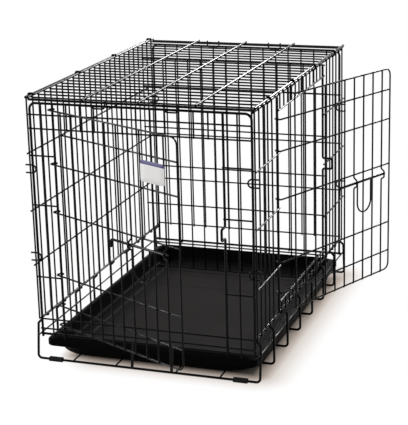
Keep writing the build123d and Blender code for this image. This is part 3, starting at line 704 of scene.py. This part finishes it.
# Pan. One thin sheet of black plastic drawn into a tray: leaning walls, a sloped flange that turns down into
# a skirt, a raised ledge round the floor and a sunk middle. It lies loose on the floor wires.
pan_t, ledge_rise = 3.0, 4.0
rest_gap, pan_side_gap, pan_end_gap = 0.3, 7.5, 1.5
pan_z = floor_wire_z + wire_d / 2 + rest_gap
pan_x = lower_rail_x - wire_d / 2 - pan_side_gap
pan_y = tray_y - rail_d / 2 - pan_end_gap
ledge_h = pan_t + ledge_rise
corner_points = 10
# Heights and distances from the crate's middle for the painted shade of the pan's walls: below 8 mm and
# within 150 mm across and 260 mm along, the floor is painted lit; above 14 mm or beyond 245 mm and 360 mm it
# is painted dark.
wall_shade_foot, wall_shade_head = 8.0, 14.0
wall_shade_x, wall_shade_y = (150.0, 245.0), (260.0, 360.0)


def drawn_tray():
    """The profile (inset from the skirt, height, corner radius) carried round a rounded rectangle. Each
    corner is a quarter circle of its row's radius, and the flat bottom and floor close it."""
    profile = np.array([
        (14, 0, 82), (10.5, 0.4, 84), (8.6, 1.8, 85), (7.8, 4, 85), (5, 17.6, 86), (4.4, 18.5, 82),
        (3, 19, 20), (1.2, 19.3, 18), (0.2, 20.2, 17), (0, 21.5, 17), (0, 31.5, 17), (0.5, 33.2, 17.5),
        (2, 34.8, 18), (4, 35.8, 19), (12.2, 40.4, 24), (14, 41.6, 25), (15.4, 42, 25), (16.8, 41.6, 25),
        (17.8, 40.2, 26), (19, 36, 27), (24.6, 14, 32), (25.8, 11, 33), (27.6, 8.6, 34), (30, 7.3, 36),
        (33, ledge_h, 37), (52, ledge_h, 40), (54, ledge_h - 0.5, 41), (55.4, ledge_h - 1.8, 42),
        (56.8, pan_t + 0.5, 43), (59, pan_t, 44), (63, pan_t, 45),
    ])
    inset, height, corner = profile.T[:, :, None]
    a = np.radians((np.arange(4)[:, None] * 90 + np.linspace(0, 90, corner_points)).ravel())
    sx, sy = np.repeat([1, -1, -1, 1], corner_points), np.repeat([1, 1, -1, -1], corner_points)
    x = sx * (pan_x - inset - corner) + corner * np.cos(a)
    y = sy * (pan_y - inset - corner) + corner * np.sin(a)
    points = np.stack(np.broadcast_arrays(x, y, pan_z + height), -1)
    return points.reshape(-1, 3), turned(ring_faces(*points.shape[:2]))


def pan_plastic():
    """Black sheet plastic with a leathery grain of 1.5 mm cells and a dull shine. It is near black. The
    floor's middle is painted lighter, its tone there the mean of noise at 60 mm and at 4 mm, and the walls
    and the floor near them are painted darker: painted shade of the walls."""
    finish, shader, place, node = new_finish("pan_plastic")
    swell = {"Vector": place, "Scale": 16.0, "Detail": 6.0, "Roughness": 0.62}
    drift = node("TexNoise", swell).outputs["Fac"]
    speck = noise(node, place, 260.0, 3.0)
    both = node("Mix", {"Factor": 0.5, "A": drift, "B": speck}).outputs["Result"]
    lit_floor_tone = blend(node, both, (0.004, 0.004, 0.004, 1), (0.030, 0.027, 0.026, 1))
    # Painted shade of the pan's walls: a mask that is 1 on the floor's middle and falls to 0 up the walls and
    # towards them, where the colour is painted near black.
    height = node("SeparateXYZ", {"Vector": place}).outputs["Z"]
    low = {"Value": height, "From Min": (pan_z + wall_shade_head) * MM, "From Max": (pan_z + wall_shade_foot) * MM}
    clear_of_wall_shade = node("MapRange", low).outputs["Result"]
    away = node("VectorMath", {0: place, 1: crate_middle}, operation="SUBTRACT").outputs["Vector"]
    apart = node("VectorMath", {0: away}, operation="ABSOLUTE").outputs["Vector"]
    beside = node("SeparateXYZ", {"Vector": apart}).outputs
    for axis, (full, edge) in (("X", wall_shade_x), ("Y", wall_shade_y)):
        inward = {"Value": beside[axis], "From Min": edge * MM, "From Max": full * MM}
        inward = node("MapRange", inward).outputs["Result"]
        clear_of_wall_shade = node("Math", {0: clear_of_wall_shade, 1: inward}, operation="MULTIPLY").outputs["Value"]
    grain = node("TexVoronoi", {"Vector": place, "Scale": 650.0}).outputs["Distance"]
    fill(shader, {
        "Base Color": blend(node, clear_of_wall_shade, (0.0012, 0.0012, 0.0012, 1), lit_floor_tone),
        "Specular IOR Level": 0.02,
        "Roughness": spread(node, drift, 0.42, 0.62),
        "Normal": relief(node, grain, 0.25, 0.0004),
    })
    return finish


crate_piece("moulded_pan", [drawn_tray()], "pan", pan_plastic(), ["pan"], sharp=60.0)

# Pan stops. Two flat plastic straps, each curled round the front end rail and hanging down to the front floor
# wire, so that the pan can't slide out under the door.
stop_x = {"left": -33.5, "right": 61.5}
stop_drop = hypot(tray_toe, end_rail_z - floor_z)
stop_lean = -atan2(tray_toe, end_rail_z - floor_z)
strap_w, strap_t, strap_power = 7.0, 2.0, 5
strap_curl_r, strap_curl_from, strap_curl_to = 3.72, -105, 180
strap_points, strap_sides = 30, 20


def stop_strap(x):
    """A flat strap, a super-circle of power 5 in section: most of a circle round the rail, then straight, all
    turned by its lean."""
    a = np.radians(np.linspace(strap_curl_from, strap_curl_to, strap_points))
    curl = strap_curl_r * np.column_stack([np.cos(a), np.sin(a)])
    out, up = np.vstack([curl, [(-strap_curl_r, -stop_drop)]]).T
    c, s = np.cos(stop_lean), np.sin(stop_lean)
    path = np.column_stack([np.full(len(up), x), -tray_y + out * c - up * s, end_rail_z + out * s + up * c])
    v = np.linspace(0, 2 * np.pi, strap_sides, endpoint=False)
    reach = super_circle(np.cos(v), np.sin(v), strap_power)
    section = np.column_stack([strap_w / 2 * reach * np.cos(v), strap_t / 2 * reach * np.sin(v)])
    return carried(path, ACROSS, section)


def strap_plastic():
    """Black moulded plastic with a soft sheen and a fine moulding haze."""
    finish, shader, place, node = new_finish("strap_plastic")
    haze = noise(node, place, 300.0, 3.0)
    fill(shader, {
        "Base Color": blend(node, haze, (0.003, 0.003, 0.003, 1), (0.008, 0.008, 0.008, 1)),
        "Specular IOR Level": 0.1,
        "Roughness": spread(node, haze, 0.35, 0.5),
    })
    return finish


strap = strap_plastic()
for side, x in stop_x.items():
    body = "pan_stop_" + side
    crate_piece(side + "_stop", [stop_strap(x)], body, strap, [body])

# Divider. A loose wire panel that stands in the pan across the back of the crate: uprights welded behind
# seven bars, the lowest one shorter so that it fits between the pan's walls.
divider_gap = 0.8
divider_y = half_l * 0.709
divider_front = divider_y - wire_d
divider_reach, divider_low = stile_x - 10.0, pan_x - 31.8
divider_z = crate_h * np.array([0.141, 0.315, 0.485, 0.652, 0.828, 0.946])
divider_foot = pan_z + ledge_h + divider_gap + wire_d / 2
divider_x = np.linspace(-divider_low, divider_low, round(2 * divider_low / end_pitch) + 1)[1:-1]
bars = [straight((-divider_reach, divider_front, z), (divider_reach, divider_front, z)) for z in divider_z]
bars.append(straight((-divider_low, divider_front, divider_foot), (divider_low, divider_front, divider_foot)))
painted("divider_rails", bars, "divider", ["divider_bars"])
low, high = divider_foot - wire_d / 2, divider_z[-1] + wire_d / 2
uprights = [straight((x, divider_y, low), (x, divider_y, high)) for x in divider_x]
painted("divider_uprights", uprights, "divider", ["divider_wires"])
welds = crossings(divider_x, [divider_y - wire_d / 2], [divider_foot, *divider_z])
painted("divider_welds", beads(welds), "divider")

# Studio floor, surround and lamps. A wide floor glows white to the eye and to reflections, less so near the
# crate, where the lowered, warm-tinted glow is a painted soft, warm shadow, and least under the pan, a
# painted contact shadow. The surround is an even white, and two strip lamps stand high, one at the left and
# one behind.
floor_half = 40.0
# Painted shadow on the floor: a rectangle round the crate and a smaller one under the pan, both set off to
# the right, inside which the glow is lowered.
shadow_half = ((half_w - 80) * MM, (half_l - 30) * MM, 0)
shadow_shift, shadow_reach, shadow_glow = [0.06, 0.015, 0], 0.1, 0.5
contact_half = ((pan_x - 45) * MM, (pan_y - 36) * MM, 0)
contact_shift, contact_reach, contact_glow = [0.025, 0, 0], 0.05, 0.0
surround_light = 0.6
lamp_aim = (0, 0, 0.35)


def seen(node):
    """1 for the rays of the eye, of reflections and of glass, 0 for the rays that light other things."""
    rays = node("LightPath").outputs
    eye = {0: rays["Is Camera Ray"], 1: rays["Is Glossy Ray"]}
    eye = node("Math", eye, operation="MAXIMUM").outputs["Value"]
    return node("Math", {0: eye, 1: rays["Is Transmission Ray"]}, operation="MAXIMUM").outputs["Value"]


def clear_of(node, place, shift, half, reach, low, way):
    """Rises from low inside a rectangle of the floor to 1 where the distance beyond its edge is the reach."""
    away = node("VectorMath", {0: place, 1: crate_middle + shift}, operation="SUBTRACT").outputs["Vector"]
    apart = node("VectorMath", {0: away}, operation="ABSOLUTE").outputs["Vector"]
    beyond = node("VectorMath", {0: apart, 1: half}, operation="SUBTRACT").outputs["Vector"]
    outside = node("VectorMath", {0: beyond, 1: (0, 0, 0)}, operation="MAXIMUM").outputs["Vector"]
    distance = node("VectorMath", {0: outside}, operation="LENGTH").outputs["Value"]
    rise = {"Value": distance, "From Max": reach, "To Min": low}
    return node("MapRange", rise, interpolation_type=way).outputs["Result"]


def glowing_floor():
    """A dim warm floor mixed with a white glow, by how clear of the crate it is, for the rays of the eye.
    Near the crate the glow is lowered and tinted warm, a painted shadow, and under the pan it is cut out.
    """
    finish, shader, place, node = new_finish("white_floor")
    fill(shader, {"Base Color": (0.32, 0.29, 0.262, 1), "Roughness": 0.9, "Specular IOR Level": 0.0})
    # Painted shadow: the glow falls to half near the crate and to nothing under the pan.
    shadow = clear_of(node, place, shadow_shift, shadow_half, shadow_reach, shadow_glow, "SMOOTHSTEP")
    contact = clear_of(node, place, contact_shift, contact_half, contact_reach, contact_glow, "LINEAR")
    clear = node("Math", {0: shadow, 1: contact}, operation="MULTIPLY").outputs["Value"]
    share = node("Math", {0: clear, 1: seen(node)}, operation="MULTIPLY").outputs["Value"]
    # Painted shadow tint: the glow turns warm where it is lowered.
    shadow_tinted_glow_colour = blend(node, clear, (1.0, 0.80, 0.66, 1), (1, 1, 1, 1))
    glow = node("Emission", {"Color": shadow_tinted_glow_colour, "Strength": 1.0}).outputs["Emission"]
    surface = node("MixShader", {"Fac": share, 1: shader.outputs["BSDF"], 2: glow}).outputs["Shader"]
    fill(finish.node_tree.nodes["Material Output"], {"Surface": surface})
    return finish


floor_mesh = bpy.data.meshes.new("studio_floor")
corners = floor_half * np.array([(-1, -1, 0), (1, -1, 0), (1, 1, 0), (-1, 1, 0)])
floor_mesh.from_pydata(corners.tolist(), [], [(0, 1, 2, 3)])
floor_mesh.materials.append(glowing_floor())
floor = bpy.data.objects.new("studio_floor", floor_mesh)
bpy.context.collection.objects.link(floor)

world = bpy.data.worlds.new("studio")
bpy.context.scene.world = world
world.use_nodes = True
node = partial(add_node, world.node_tree)
strength = spread(node, seen(node), surround_light, 1.0)
fill(world.node_tree.nodes["Background"], {"Color": (1, 1, 1, 1), "Strength": strength})


def placed(right, up, back, spot):
    """The place of a lamp or camera from its three directions and the spot where it stands."""
    return Matrix.Translation(spot) @ Matrix(np.column_stack([right, up, back]).tolist()).to_4x4()


def strip_lamp(name, spot, along, length, width, watts):
    """A strip lamp that looks at the middle of the crate, its long side as near to a direction as can be."""
    data = bpy.data.lights.new(name, "AREA")
    data.shape = "RECTANGLE"
    data.size = length
    data.size_y = width
    data.energy = watts
    lamp = bpy.data.objects.new(name, data)
    back = unit(np.subtract(spot, lamp_aim).astype(float))
    right = unit(along - back * np.dot(along, back))
    lamp.matrix_world = placed(right, np.cross(back, right), back, spot)
    bpy.context.collection.objects.link(lamp)


strip_lamp("left_lamp", (-2.88, -1.04, 1.62), (-0.64, 0.07, 0.76), length=2.2, width=0.2, watts=70.0)
strip_lamp("back_lamp", (0.6, 3.1, 1.75), ACROSS, length=1.6, width=0.2, watts=72.0)

# Camera. It stands in front of the crate, to the right of it and above it. Its place and its lens were solved
# from the crate's corners in a frame of 408 by 425, the long side on a 36 mm film.
camera_data = bpy.data.cameras.new("camera")
camera_data.sensor_fit = "VERTICAL"
camera_data.sensor_height = 36.0
camera_data.lens = 120.25
camera_data.clip_end = 200.0
camera = bpy.data.objects.new("camera", camera_data)
right = (0.94383, 0.32944, -0.02547)
up = (-0.07116, 0.27794, 0.95796)
back = (0.32267, -0.90235, 0.28578)
spot = np.array([1128.22, -3124.81, 1253.35]) * MM + crate_middle
camera.matrix_world = placed(right, up, back, spot)
bpy.context.collection.objects.link(camera)
bpy.context.scene.camera = camera
bpy.context.scene.view_settings.view_transform = "Standard"
